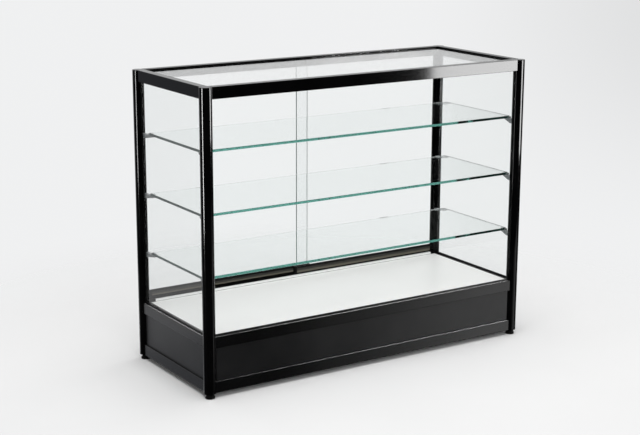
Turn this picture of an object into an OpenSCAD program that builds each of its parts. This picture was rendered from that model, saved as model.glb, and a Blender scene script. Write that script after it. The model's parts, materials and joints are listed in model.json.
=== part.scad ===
// Glass display case: round posts, grooved rails, fixed panes, loose shelves,
// a closed base with a deck, and two sliding doors at the back.
// X runs along the front, -Y is the front, Z is up. The origin is on the floor
// below the middle of the case. All lengths are in millimetres.

/* [Case] */
// Overall width, over the posts
case_w = 1200; // [800:10:1800]
// Overall depth, over the posts
case_d = 470; // [360:5:700]
// Overall height, floor to post caps
case_h = 938; // [760:1:1300]
// Height of the base, from the posts' lower ends to the upper base rails' tops
base_h = 176; // [120:1:320]

/* [Posts] */
// Diameter of a post
column_d = 38; // [34:1:48]
// Wall of a post
column_wall = 2.6; // [2:0.1:4]
// Diameter of the boss inside a post
column_boss_d = 17; // [15:0.5:18]
// Bore of that boss
column_bore_d = 12; // [11.5:0.1:13]
// Depth of a post's glazing groove
column_groove = 9; // [7:0.5:9.5]
// Web beside a post's glazing groove
column_web = 1.8; // [1:0.1:2.5]
// Thickness of a post cap
cap_t = 1.6; // [1:0.1:4]
// Length of a cap's stem
cap_stem = 12; // [6:1:30]

/* [Rails] */
// Width of a rail
rail_w = 26; // [24:0.5:30]
// Height of a rail
rail_h = 36; // [36:0.5:50]
// Distance of a rail's outer face from the posts' centre line
rail_face = 11; // [9:0.5:13]
// Radius of a rail's long edges
rail_edge_r = 1.2; // [0.5:0.1:1.5]
// Depth of a rail's glazing groove
rail_groove = 10; // [7:0.5:11]
// Side of the square spigot in a rail's end
spigot = 12; // [8:0.5:12]
// Length of that spigot
spigot_len = 40; // [20:1:80]
// Height of the spigot above the underside of a rail
spigot_rise = 12; // [11.5:0.5:13]

/* [Fixed panes] */
// Thickness of the front and side panes
pane_t = 5; // [4:0.5:6]
// Thickness of the top pane
top_pane_t = 6; // [5:0.5:8]
// Depth of the top pane's face below the rails' tops
top_pane_drop = 5; // [3:0.5:7]
// Depth of the groove that holds the top pane
top_groove = 7.5; // [6:0.5:8]
// Wall of the rubber gaskets
gasket_t = 0.9; // [0.5:0.1:1]
// How far the gaskets stand out of the posts, the top rails and the top pane's grooves
gasket_lip = 0.8; // [0.3:0.1:2]
// How far the gaskets stand out of the base rails
bead_h = 4; // [0.5:0.5:6]

/* [Base] */
// Thickness of the base panels
panel_t = 6; // [4:0.5:6.5]
// Depth of the base panels' faces behind the rails' faces
panel_setback = 5; // [4:0.5:6]
// Depth of the grooves that hold the base panels
panel_groove = 8; // [5:0.5:9]
// Thickness of the tongue at a panel's ends
panel_tongue = 3; // [2:0.5:3]
// Width of the shadow gap between a post and a panel's face
panel_gap = 1.5; // [1:0.5:20]
// Thickness of the deck
deck_t = 12; // [8:1:22]
// Depth of the deck's face below the rails' tops
deck_drop = 1; // [0.5:0.5:4]
// Depth of the ledge behind the deck, in front of the rear rail
strip_d = 6.5; // [6:0.5:40]
// Height of that ledge above the base rails
strip_rise = 6; // [2:0.5:8]
// Width of the joint between the deck and that ledge
deck_joint = 0.4; // [0.2:0.1:2]
// Leg of the angles under the deck
cleat = 15; // [10:1:20]
// Thickness of those angles
cleat_t = 2; // [1.5:0.5:4]

/* [Shelves] */
// Thickness of a shelf
shelf_t = 8; // [5:0.5:12]
// Height of the lowest shelf's face above the base rails
shelf_rise = 174; // [60:1:240]
// Depth of the highest shelf's face below the top of the case
shelf_drop = 190; // [90:1:260]
// Gap between a shelf's end and the side pane
shelf_side_gap = 2.5; // [1:0.5:8]
// Gap between the front posts and a shelf
shelf_front_gap = 12.5; // [6:0.5:40]
// Gap between a shelf and the door tracks
shelf_rear_gap = 45.5; // [20:0.5:120]
// Width of a shelf clip
clip_w = 10; // [7:0.5:11]
// Height of a clip at its post
clip_root = 15; // [10:0.5:30]
// Height of a clip at its tip
clip_tip = 4; // [2:0.5:9]
// Length of a clip under the shelf
clip_bearing = 18; // [8:1:40]
// Height of the stop on a clip
clip_stop = 6; // [3:0.5:12]
// Thickness of that stop
clip_stop_t = 3; // [2:0.5:5]
// Diameter of the peg that holds a clip in its post
clip_peg_d = 5; // [3:0.5:5]
// Length of that peg inside the post
clip_peg_in = 5; // [3:0.5:6]

/* [Doors] */
// Thickness of the door panes
door_t = 5; // [4:0.5:5]
// Overlap of the closed doors
door_overlap = 48.5; // [34:0.5:120]
// Distance of the overlap's middle from the middle of the case, to the right
door_offset = 11.75; // [0:0.25:16]
// Distance between the two doors' planes
door_pitch = 10.5; // [10.4:0.1:10.8]
// Depth of the door panes in the upper track
door_lap = 14; // [8:0.5:16]
// Wall of the tracks
track_wall = 1.6; // [1:0.1:1.6]
// Floor of the tracks
track_floor = 2; // [1.5:0.1:2.5]
// Height of the lower track
track_h = 10; // [7:0.5:11]
// Height of the upper track
top_track_h = 19.8; // [18:0.1:20]
// Length of the blocks at the ends of the ledge in front of the lower track
block_w = 17; // [10:0.5:40]
// Height of those blocks above the base rails
block_rise = 9; // [2:0.5:10]
// Width of a door shoe between the track's walls
shoe_w = 8; // [7.5:0.1:8]
// Width of the band on a shoe, above the track's walls
shoe_band = 9.4; // [8.2:0.1:9.6]
// Width of a shoe where it holds the pane
shoe_neck = 7.4; // [7:0.1:8]
// Height of a shoe's top above the base rails
shoe_top = 33; // [31:0.5:44]
// Height of the pane's lower edge above the base rails
shoe_seat = 16; // [15.5:0.5:20]
// Height of the shoe's shoulder above that edge
shoe_rise = 10.5; // [2:0.5:12]
// Length of a shoe's end caps
shoe_cap = 9.5; // [6:0.5:30]
// Length of the tongue on an end cap
shoe_cap_tongue = 10; // [4:1:20]
// Width of the slot that houses the wheels
wheel_slot = 5; // [4.5:0.1:5.4]
// Diameter of a door wheel
wheel_d = 10; // [8:0.1:10.4]
// Width of a door wheel
wheel_w = 4; // [2.5:0.1:4.2]
// Diameter of a wheel's axle
axle_d = 3; // [2:0.1:4]
// Distance of a wheel from the shoe's end
wheel_inset = 60; // [30:1:150]

/* [Feet] */
// Height of the feet below the posts
foot_h = 16; // [14:0.5:40]
// Diameter of a foot's pad
foot_d = 30; // [24:1:50]
// Height of a foot's rim
foot_rim = 5.5; // [3:0.5:6]
// Height of the flare between that rim and the neck
foot_flare = 3.5; // [2:0.5:4]
// Diameter of a foot's neck
foot_neck_d = 24; // [18:1:24]
// Diameter of a foot's stud
stud_d = 10; // [8:0.5:10.5]
// Length of stud inside the post
stud_len = 28; // [20:1:60]
// Length of the insert that holds the stud
insert_len = 26; // [12:1:60]

/* [Clearances] */
// Gap between pieces that are cut to fit each other
fit_gap = 0.1; // [0.05:0.05:0.3]
// Gap round a pressed-in plug
press_gap = 0.02; // [0.01:0.01:0.05]
// Gap round an axle or a stud
running_gap = 0.05; // [0.02:0.01:0.1]
// Gap under a wheel
wheel_gap = 0.3; // [0.2:0.1:0.6]
// Gap over a wheel
wheel_head_gap = 0.7; // [0.4:0.1:1]
// Gap between a shoe and the track's floor
shoe_gap = 2; // [1:0.5:3]
// Gap between the lower track's walls and the band on a shoe
band_gap = 1; // [0.5:0.1:1.5]
// Gap between a closed door and what stops it
door_gap = 0.6; // [0.4:0.1:2]
// Gap between the top pane's corners and the posts
corner_gap = 1.5; // [0.5:0.5:4]
// Gap at the end of a piece that stands in a groove
groove_gap = 0.5; // [0.3:0.1:1]
// Gap between a shelf's edge and the stop on a clip
stop_gap = 0.5; // [0.2:0.1:1]
// Gap between a foot's pad and its post
foot_gap = 2; // [1:0.5:3]

/* [Hidden] */
$fn = 64;
over = 1;
chamfer = 1;
tread_drop = 0.4;
tread_edge = 0.8;

black_coat = [0.05, 0.05, 0.055];
black_board = [0.10, 0.10, 0.105];
white_board = [0.94, 0.94, 0.93];
clear_glass = [0.80, 0.92, 0.88, 0.35];
dark_rubber = [0.08, 0.08, 0.08];
bronze_metal = [0.30, 0.27, 0.23];
grey_metal = [0.55, 0.56, 0.57];
black_plastic = [0.04, 0.04, 0.04];
white_plastic = [0.85, 0.85, 0.83];

// Posts and rails
column_r = column_d / 2;
post_x = case_w / 2 - column_r;
post_y = case_d / 2 - column_r;
base_top = foot_h + base_h;
upper_rail_z = base_top - rail_h;
lower_rail_z = foot_h;
top_rail_z = case_h - rail_h;
rail_in = rail_w - rail_face;
groove_w = pane_t + 2 * gasket_t + 2 * fit_gap;
groove_floor_r = column_r - column_groove;
blade_lap = 1.5;

// Top pane and its groove in the rails' inner faces
top_groove_w = top_pane_t + 2 * gasket_t + 2 * fit_gap;
top_groove_v = rail_h - top_pane_drop - top_pane_t - gasket_t - fit_gap;
top_pane_reach = top_groove - gasket_t - fit_gap;

// Deck
deck_x = post_x - rail_in - fit_gap;
deck_back = post_y - rail_in - strip_d;
deck_under = base_top - deck_drop - deck_t;

// Shelves
shelf_x = post_x - pane_t / 2 - shelf_side_gap;
shelf_front = -post_y + column_r + shelf_front_gap;
shelf_low = base_top + shelf_rise;
shelf_high = case_h - shelf_drop;
shelf_z = [shelf_low, (shelf_low + shelf_high) / 2, shelf_high];
clip_land = 2;
clip_x = groove_w / 2 + groove_gap + clip_w / 2;

// Door tracks, centred on the rear rails
track_w = 2 * door_pitch + track_wall;
track_y = post_y - (rail_in - rail_face) / 2;
top_track_cut = top_track_h + 2 * fit_gap;
rear_spigot_web = 2;
rear_spigot_rise = top_track_cut + rear_spigot_web;
track_front = track_y - track_w / 2;
track_end = post_x - column_r - fit_gap;
shelf_back = track_front - shelf_rear_gap;
block_in = deck_x - block_w;
door_end = track_end - door_gap;
door_foot_z = base_top + shoe_seat;
door_head_z = top_rail_z + door_lap;
wheel_z = base_top + track_floor + wheel_gap + wheel_d / 2;
shoe_low = track_floor + shoe_gap;
shoe_slot_top = track_floor + wheel_gap + wheel_d + wheel_head_gap;
shoe_shoulder = shoe_seat + shoe_rise;

// Sides of the case

function is_long(side) = side == "front" || side == "rear";
function side_turn(side) = side == "front" ? 0 : side == "right" ? 90 : side == "rear" ? 180 : -90;
function half_span(side) = is_long(side) ? post_x : post_y;
function plane(side) = is_long(side) ? post_y : post_x;

// Puts a side's own frame in place: x along the side, y inwards from the posts' centre line
module on_side(side) {
    rotate([0, 0, side_turn(side)])
        translate([0, -plane(side), 0])
            children();
}

// Carries an outline (inwards, up) along a side
module along(length) {
    rotate([90, 0, 90])
        linear_extrude(height = length, center = true)
            children();
}

// Puts a post's own frame in place: x and y both point into the case
module at_post(sx, sy) {
    translate([sx * post_x, sy * post_y, 0])
        mirror([sx > 0 ? 1 : 0, 0, 0])
            mirror([0, sy > 0 ? 1 : 0, 0])
                children();
}

module at_all_posts() {
    for (sx = [-1, 1])
        for (sy = [-1, 1])
            at_post(sx, sy)
                children();
}

module rounded_rect(w, h, r) {
    translate([r, 0])
        square([w - 2 * r, h]);
    translate([0, r])
        square([w, h - 2 * r]);
    for (x = [r, w - r])
        for (y = [r, h - r])
            translate([x, y])
                circle(r);
}

// Posts

// Outline of a post: tube, boss, and a glazing groove towards +X and towards +Y
module column_outline() {
    difference() {
        circle(column_r);
        difference() {
            circle(column_r - column_wall);
            circle(d = column_boss_d);
            for (turn = [0, 90])
                rotate(turn)
                    translate([0, -groove_w / 2 - column_web])
                        square([column_r, groove_w + 2 * column_web]);
        }
        for (turn = [0, 90])
            rotate(turn)
                translate([groove_floor_r, -groove_w / 2])
                    square([column_groove + over, groove_w]);
        circle(d = column_bore_d);
    }
}

module clip_peg_hole(z) {
    translate([clip_x, column_r + over, z - shelf_t - clip_root / 2])
        rotate([90, 0, 0])
            cylinder(d = clip_peg_d + 2 * fit_gap, h = column_r);
}

module column(sx, sy) {
    color(black_coat)
        at_post(sx, sy)
            difference() {
                translate([0, 0, foot_h])
                    linear_extrude(height = case_h - cap_t - foot_h)
                        column_outline();
                for (z = shelf_z)
                    clip_peg_hole(z);
            }
}

module column_front_left() { column(-1, -1); }
module column_front_right() { column(1, -1); }
module column_rear_left() { column(-1, 1); }
module column_rear_right() { column(1, 1); }

// Flat caps that close the posts at the top
module column_caps() {
    color(black_coat)
        at_all_posts()
            rotate_extrude()
                polygon([
                    [0, case_h - cap_t - cap_stem],
                    [column_bore_d / 2 - press_gap, case_h - cap_t - cap_stem],
                    [column_bore_d / 2 - press_gap, case_h - cap_t],
                    [column_r, case_h - cap_t],
                    [column_r, case_h - cap_t / 4],
                    [column_r - cap_t / 4, case_h],
                    [0, case_h]
                ]);
}

// Threaded inserts in the posts' lower ends
module foot_inserts() {
    color(grey_metal)
        at_all_posts()
            translate([0, 0, foot_h])
                difference() {
                    cylinder(d = column_bore_d - 2 * press_gap, h = insert_len);
                    translate([0, 0, -over])
                        cylinder(d = stud_d + 2 * running_gap, h = insert_len + 2 * over);
                }
}

// Levelling feet: a flared pad on a stud
module foot(sx, sy) {
    pad = foot_h - foot_gap;
    color(black_plastic)
        at_post(sx, sy)
            rotate_extrude()
                polygon([
                    [0, 0],
                    [foot_d / 2 - chamfer, 0],
                    [foot_d / 2, chamfer],
                    [foot_d / 2, foot_rim],
                    [foot_neck_d / 2, foot_rim + foot_flare],
                    [foot_neck_d / 2, pad - chamfer],
                    [foot_neck_d / 2 - chamfer, pad],
                    [stud_d / 2, pad],
                    [stud_d / 2, foot_h + stud_len - chamfer],
                    [stud_d / 2 - chamfer, foot_h + stud_len],
                    [0, foot_h + stud_len]
                ]);
}

module foot_front_left() { foot(-1, -1); }
module foot_front_right() { foot(1, -1); }
module foot_rear_left() { foot(-1, 1); }
module foot_rear_right() { foot(1, 1); }

// Rails

// Outline of a rail without its grooves; x is inwards from the posts' centre line
module rail_blank() {
    translate([-rail_face, 0])
        rounded_rect(rail_w, rail_h, rail_edge_r);
}

module spigot_hole(rise) {
    translate([-spigot / 2, rise])
        square(spigot);
}

module pane_groove_below() {
    translate([-groove_w / 2, -over])
        square([groove_w, rail_groove + over]);
}

module pane_groove_above() {
    translate([-groove_w / 2, rail_h - rail_groove])
        square([groove_w, rail_groove + over]);
}

module panel_groove_at(v) {
    translate([panel_setback - rail_face, v])
        square([panel_t + 2 * fit_gap, panel_groove + over]);
}

module top_pane_groove() {
    translate([rail_in - top_groove, top_groove_v])
        square([top_groove + over, top_groove_w]);
}

module track_seat() {
    translate([post_y - track_y - track_w / 2 - fit_gap, -over])
        square([track_w + 2 * fit_gap, top_track_cut + over]);
}

// A rail between two posts, its ends hollowed to fit round them
module rail(side, z) {
    color(black_coat)
        on_side(side)
            translate([0, 0, z])
                difference() {
                    along(2 * (half_span(side) - rail_in - fit_gap))
                        children();
                    for (s = [-1, 1])
                        translate([s * half_span(side), 0, -over])
                            cylinder(r = column_r + fit_gap, h = rail_h + 2 * over);
                }
}

module lower_rail(side) {
    rail(side, lower_rail_z)
        difference() {
            rail_blank();
            panel_groove_at(rail_h - panel_groove);
            spigot_hole(spigot_rise);
        }
}

module upper_rail(side) {
    rail(side, upper_rail_z)
        difference() {
            rail_blank();
            panel_groove_at(-over);
            if (side != "rear")
                pane_groove_above();
            spigot_hole(spigot_rise);
        }
}

module top_rail(side) {
    rail(side, top_rail_z)
        difference() {
            rail_blank();
            top_pane_groove();
            if (side == "rear")
                track_seat();
            else
                pane_groove_below();
            spigot_hole(side == "rear" ? rear_spigot_rise : spigot_rise);
        }
}

module base_lower_rail_front() { lower_rail("front"); }
module base_lower_rail_rear() { lower_rail("rear"); }
module base_lower_rail_left() { lower_rail("left"); }
module base_lower_rail_right() { lower_rail("right"); }
module base_upper_rail_front() { upper_rail("front"); }
module base_upper_rail_rear() { upper_rail("rear"); }
module base_upper_rail_left() { upper_rail("left"); }
module base_upper_rail_right() { upper_rail("right"); }
module top_rail_front() { top_rail("front"); }
module top_rail_rear() { top_rail("rear"); }
module top_rail_left() { top_rail("left"); }
module top_rail_right() { top_rail("right"); }

// A spigot in each end of a rail, with a blade that enters the post's groove
module connector_pair(side, z) {
    block = spigot - 2 * fit_gap;
    blade_t = groove_w - 2 * fit_gap;
    block_end = column_r + groove_gap;
    blade_root = block_end + blade_lap;
    blade_end = groove_floor_r + groove_gap;
    for (s = [-1, 1])
        on_side(side)
            translate([s * half_span(side), 0, z + fit_gap])
                mirror([s > 0 ? 1 : 0, 0, 0]) {
                    translate([block_end, -block / 2, 0])
                        cube([spigot_len, block, block]);
                    translate([blade_end, -blade_t / 2, 0])
                        cube([blade_root - blade_end, blade_t, block]);
                }
}

module rail_connectors() {
    color(grey_metal)
        for (side = ["front", "rear", "left", "right"]) {
            connector_pair(side, lower_rail_z + spigot_rise);
            connector_pair(side, upper_rail_z + spigot_rise);
            connector_pair(side, top_rail_z + (side == "rear" ? rear_spigot_rise : spigot_rise));
        }
}

// Base

// A panel in the rails' grooves, with a tongue at each end for the posts' grooves
module base_panel(side) {
    low = lower_rail_z + rail_h - panel_groove + groove_gap;
    high = upper_rail_z + panel_groove - groove_gap;
    face = panel_setback - rail_face + fit_gap;
    body = 2 * (half_span(side) - column_r - panel_gap);
    tongue = 2 * (half_span(side) - groove_floor_r - groove_gap);
    color(black_board)
        on_side(side)
            translate([0, 0, low]) {
                translate([-body / 2, face, 0])
                    cube([body, panel_t, high - low]);
                translate([-tongue / 2, face + panel_t - panel_tongue, 0])
                    cube([tongue, panel_tongue, high - low]);
            }
}

module base_panel_front() { base_panel("front"); }
module base_panel_rear() { base_panel("rear"); }
module base_panel_left() { base_panel("left"); }
module base_panel_right() { base_panel("right"); }

module deck_panel() {
    front = -post_y + rail_in + fit_gap;
    color(white_board)
        translate([-deck_x, front, deck_under])
            cube([2 * deck_x, deck_back - deck_joint - front, deck_t]);
}

// Outline of the ledge between the deck and the lower track; it laps over the rear rail
module ledge_outline(rise) {
    foot = strip_d - fit_gap;
    lap = track_front - fit_gap - deck_back;
    rail_top = deck_t + deck_drop + fit_gap;
    head = deck_t + deck_drop + rise;
    polygon([[0, 0], [foot, 0], [foot, rail_top], [lap, rail_top], [lap, head], [0, head]]);
}

module deck_rear_strip() {
    color(white_board)
        translate([0, deck_back, deck_under])
            along(2 * (block_in - fit_gap))
                ledge_outline(strip_rise);
}

// Angles on the long rails' inner faces; the rear one carries deck and ledge
module deck_cleats() {
    length = 2 * (deck_x - spigot_len);
    color(black_coat)
        for (side = ["front", "rear"])
            on_side(side)
                translate([0, rail_in, deck_under])
                    along(length) {
                        translate([0, -cleat])
                            square([cleat_t, cleat]);
                        translate([0, -cleat_t])
                            square([side == "rear" ? strip_d + cleat : cleat, cleat_t]);
                    }
}

// Fixed panes

module fixed_pane(side) {
    half = half_span(side) - groove_floor_r - gasket_t - fit_gap;
    low = base_top - rail_groove + gasket_t + fit_gap;
    high = top_rail_z + rail_groove - gasket_t - fit_gap;
    color(clear_glass)
        on_side(side)
            translate([-half, -pane_t / 2, low])
                cube([2 * half, pane_t, high - low]);
}

module front_glass() { fixed_pane("front"); }
module left_glass() { fixed_pane("left"); }
module right_glass() { fixed_pane("right"); }

// Outline of a gasket round a pane's edge, its floor at y = 0
module gasket_outline(t, height) {
    outer = t + 2 * gasket_t;
    difference() {
        translate([-outer / 2, 0])
            square([outer, height]);
        translate([-t / 2, gasket_t])
            square([t, height]);
    }
}

// Four gasket strips round one fixed pane
module pane_gasket(side) {
    half = half_span(side) - column_r - groove_gap;
    depth = rail_groove - fit_gap;
    foot = base_top + bead_h + 2 * fit_gap;
    head = top_rail_z - gasket_lip - 2 * fit_gap;
    on_side(side) {
        translate([0, 0, base_top - rail_groove + fit_gap])
            along(2 * half)
                gasket_outline(pane_t, depth + bead_h);
        translate([0, 0, top_rail_z + depth])
            mirror([0, 0, 1])
                along(2 * half)
                    gasket_outline(pane_t, depth + gasket_lip);
        for (s = [-1, 1])
            translate([s * (half_span(side) - groove_floor_r - fit_gap), 0, foot])
                rotate([0, 0, s * 90])
                    linear_extrude(height = head - foot)
                        gasket_outline(pane_t, column_groove - fit_gap + gasket_lip);
    }
}

module glazing_gaskets() {
    color(dark_rubber)
        for (side = ["front", "left", "right"])
            pane_gasket(side);
}

module top_glass() {
    half_x = post_x - rail_in + top_pane_reach;
    half_y = post_y - rail_in + top_pane_reach;
    low = case_h - top_pane_drop - top_pane_t;
    color(clear_glass)
        difference() {
            translate([-half_x, -half_y, low])
                cube([2 * half_x, 2 * half_y, top_pane_t]);
            at_all_posts()
                translate([0, 0, low - over])
                    cylinder(r = column_r + corner_gap, h = top_pane_t + 2 * over);
        }
}

// Four gasket strips in the top rails' grooves, round the top pane
module top_glass_gasket() {
    mid = case_h - top_pane_drop - top_pane_t / 2;
    color(dark_rubber)
        for (side = ["front", "rear", "left", "right"])
            on_side(side)
                translate([0, rail_in - top_groove + fit_gap, mid])
                    along(2 * (half_span(side) - column_r - corner_gap))
                        rotate(-90)
                            gasket_outline(top_pane_t, top_groove - fit_gap + gasket_lip);
}

// Shelves

module shelf(z) {
    color(clear_glass)
        translate([-shelf_x, shelf_front, z - shelf_t])
            cube([2 * shelf_x, shelf_back - shelf_front, shelf_t]);
}

module shelf_bottom() { shelf(shelf_z[0]); }
module shelf_middle() { shelf(shelf_z[1]); }
module shelf_top() { shelf(shelf_z[2]); }

// A clip: a tapered arm under the shelf, a stop at its edge and a peg in the post
module shelf_clip(edge) {
    reach = edge + clip_bearing;
    stop = edge - stop_gap;
    difference() {
        translate([clip_x, 0, 0])
            rotate([90, 0, 90])
                linear_extrude(height = clip_w, center = true)
                    polygon([
                        [0, -clip_root],
                        [column_r + clip_land, -clip_root],
                        [reach, -clip_tip],
                        [reach, 0],
                        [stop, 0],
                        [stop, clip_stop],
                        [stop - clip_stop_t, clip_stop],
                        [stop - clip_stop_t, 0],
                        [0, 0]
                    ]);
        translate([0, 0, -clip_root - over])
            cylinder(r = column_r + fit_gap, h = clip_root + clip_stop + 2 * over);
    }
    peg_y = sqrt(column_r * column_r - clip_x * clip_x);
    translate([clip_x, peg_y + clip_land, -clip_root / 2])
        rotate([90, 0, 0])
            cylinder(d = clip_peg_d, h = clip_peg_in + clip_land);
}

module shelf_clips(z) {
    color(grey_metal)
        translate([0, 0, z - shelf_t])
            for (sx = [-1, 1]) {
                at_post(sx, -1)
                    shelf_clip(shelf_front + post_y);
                at_post(sx, 1)
                    shelf_clip(post_y - shelf_back);
            }
}

module shelf_clips_bottom() { shelf_clips(shelf_z[0]); }
module shelf_clips_middle() { shelf_clips(shelf_z[1]); }
module shelf_clips_top() { shelf_clips(shelf_z[2]); }

// Door tracks

// Outline of a channel with two grooves, its floor at y = 0
module twin_channel(depth) {
    translate([-track_w / 2, 0])
        square([track_w, track_floor]);
    for (i = [-1, 0, 1])
        translate([i * door_pitch - track_wall / 2, 0])
            square([track_wall, depth]);
}

module door_bottom_track() {
    color(bronze_metal)
        translate([0, track_y, base_top])
            along(2 * (track_end - fit_gap))
                twin_channel(track_h);
}

module door_top_track() {
    color(bronze_metal)
        translate([0, track_y, top_rail_z + top_track_cut - fit_gap])
            mirror([0, 0, 1])
                along(2 * (track_end - fit_gap))
                    twin_channel(top_track_h);
}

// Blocks in front of the lower track's ends, which close the ledge
module track_end_blocks() {
    color(black_plastic)
        for (s = [-1, 1])
            translate([s * (block_in + block_w / 2), deck_back, deck_under])
                along(block_w)
                    ledge_outline(block_rise);
}

// Doors

left = -1;
right = 1;

// How far a pane's leading edge stands past the middle of the case
function lead(hand) = door_overlap / 2 - hand * door_offset;
// Length of a shoe behind that edge, and the places of its wheels
function shoe_len(hand) = door_end + lead(hand);
function wheel_places(hand) = [-wheel_inset, wheel_inset - shoe_len(hand)];

// Puts a door's own frame in place: x = 0 is the pane's leading edge, -x runs to its post.
// The left door runs in the outer groove, the right door in the inner one.
module at_door(hand) {
    translate([0, track_y - hand * door_pitch / 2, 0])
        mirror([hand > 0 ? 1 : 0, 0, 0])
            translate([lead(hand), 0, 0])
                children();
}

module door_glass(hand) {
    width = shoe_len(hand);
    color(clear_glass)
        at_door(hand)
            translate([-width, -door_t / 2, door_foot_z])
                cube([width, door_t, door_head_z - door_foot_z]);
}

// Outline of a shoe without its slots: foot, band, shoulder and neck
module shoe_outline() {
    foot = shoe_w / 2;
    band = shoe_band / 2;
    neck = shoe_neck / 2;
    half = [
        [foot, shoe_low],
        [foot, track_h + band_gap],
        [band, track_h + band_gap + chamfer],
        [band, shoe_shoulder - chamfer],
        [neck, shoe_shoulder],
        [neck, shoe_top]
    ];
    polygon(concat(half, [for (i = [len(half) - 1:-1:0]) [-half[i][0], half[i][1]]]));
}

module pane_slot() {
    translate([-door_t / 2, shoe_seat])
        square([door_t, shoe_top]);
}

// The shoe between its end caps, bored for the axles
module door_shoe(hand) {
    length = shoe_len(hand) - shoe_cap;
    color(bronze_metal)
        at_door(hand)
            difference() {
                translate([-length / 2, 0, base_top])
                    along(length)
                        difference() {
                            shoe_outline();
                            pane_slot();
                            translate([-wheel_slot / 2, 0])
                                square([wheel_slot, shoe_slot_top]);
                        }
                for (x = wheel_places(hand))
                    translate([x, shoe_band, wheel_z])
                        rotate([90, 0, 0])
                            cylinder(d = axle_d + 2 * press_gap, h = 2 * shoe_band);
            }
}

// An end cap that stands on x = 0, with a tongue in the shoe's lower slot
module shoe_end_cap() {
    tongue_t = wheel_slot - 2 * fit_gap;
    translate([shoe_cap / 2, 0, 0])
        along(shoe_cap)
            children();
    translate([-shoe_cap_tongue, -tongue_t / 2, shoe_low])
        cube([shoe_cap_tongue + over, tongue_t, shoe_slot_top - shoe_low - fit_gap]);
}

// The leading cap stands past the pane's edge; the pane runs through the other one
module door_shoe_caps(hand) {
    color(black_plastic)
        at_door(hand)
            translate([0, 0, base_top]) {
                shoe_end_cap()
                    shoe_outline();
                translate([shoe_cap - shoe_len(hand), 0, 0])
                    mirror([1, 0, 0])
                        shoe_end_cap()
                            difference() {
                                shoe_outline();
                                pane_slot();
                            }
            }
}

module door_axles(hand) {
    length = shoe_w - 2 * fit_gap;
    color(grey_metal)
        at_door(hand)
            for (x = wheel_places(hand))
                translate([x, length / 2, wheel_z])
                    rotate([90, 0, 0])
                        cylinder(d = axle_d, h = length);
}

// A wheel with a crowned tread
module door_wheel(hand, place) {
    bore = axle_d / 2 + running_gap;
    tread = wheel_d / 2;
    half = wheel_w / 2;
    color(white_plastic)
        at_door(hand)
            translate([wheel_places(hand)[place], 0, wheel_z])
                rotate([90, 0, 0])
                    rotate_extrude()
                        polygon([
                            [bore, -half],
                            [tread - tread_drop, -half],
                            [tread, -half + tread_edge],
                            [tread, half - tread_edge],
                            [tread - tread_drop, half],
                            [bore, half]
                        ]);
}

module left_door_glass() { door_glass(left); }
module left_door_shoe() { door_shoe(left); }
module left_door_shoe_caps() { door_shoe_caps(left); }
module left_door_axles() { door_axles(left); }
module left_door_wheel_a() { door_wheel(left, 0); }
module left_door_wheel_b() { door_wheel(left, 1); }
module right_door_glass() { door_glass(right); }
module right_door_shoe() { door_shoe(right); }
module right_door_shoe_caps() { door_shoe_caps(right); }
module right_door_axles() { door_axles(right); }
module right_door_wheel_a() { door_wheel(right, 0); }
module right_door_wheel_b() { door_wheel(right, 1); }

column_front_left();
column_front_right();
column_rear_left();
column_rear_right();
column_caps();
foot_inserts();
base_lower_rail_front();
base_lower_rail_rear();
base_lower_rail_left();
base_lower_rail_right();
base_upper_rail_front();
base_upper_rail_rear();
base_upper_rail_left();
base_upper_rail_right();
base_panel_front();
base_panel_rear();
base_panel_left();
base_panel_right();
top_rail_front();
top_rail_rear();
top_rail_left();
top_rail_right();
rail_connectors();
deck_panel();
deck_rear_strip();
deck_cleats();
front_glass();
left_glass();
right_glass();
glazing_gaskets();
top_glass();
top_glass_gasket();
shelf_bottom();
shelf_middle();
shelf_top();
shelf_clips_bottom();
shelf_clips_middle();
shelf_clips_top();
door_bottom_track();
door_top_track();
track_end_blocks();
left_door_glass();
left_door_shoe();
left_door_shoe_caps();
left_door_axles();
left_door_wheel_a();
left_door_wheel_b();
right_door_glass();
right_door_shoe();
right_door_shoe_caps();
right_door_axles();
right_door_wheel_a();
right_door_wheel_b();
foot_front_left();
foot_front_right();
foot_rear_left();
foot_rear_right();
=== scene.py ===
"""Looks of the glass display case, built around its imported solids.

The glass plates with worked edges, the levelling feet and the post caps are new surfaces.
Every other solid keeps its shape and gets a finish. Lengths are in metres. X runs along
the front, -Y is the front, Z is up, and the origin is on the floor below the case.
"""

from __future__ import annotations

import json
import logging
import math
from dataclasses import dataclass, replace
from enum import Enum, IntEnum
from typing import Iterable, Sequence

import bpy
import numpy as np
from mathutils import Matrix, Vector

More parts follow.
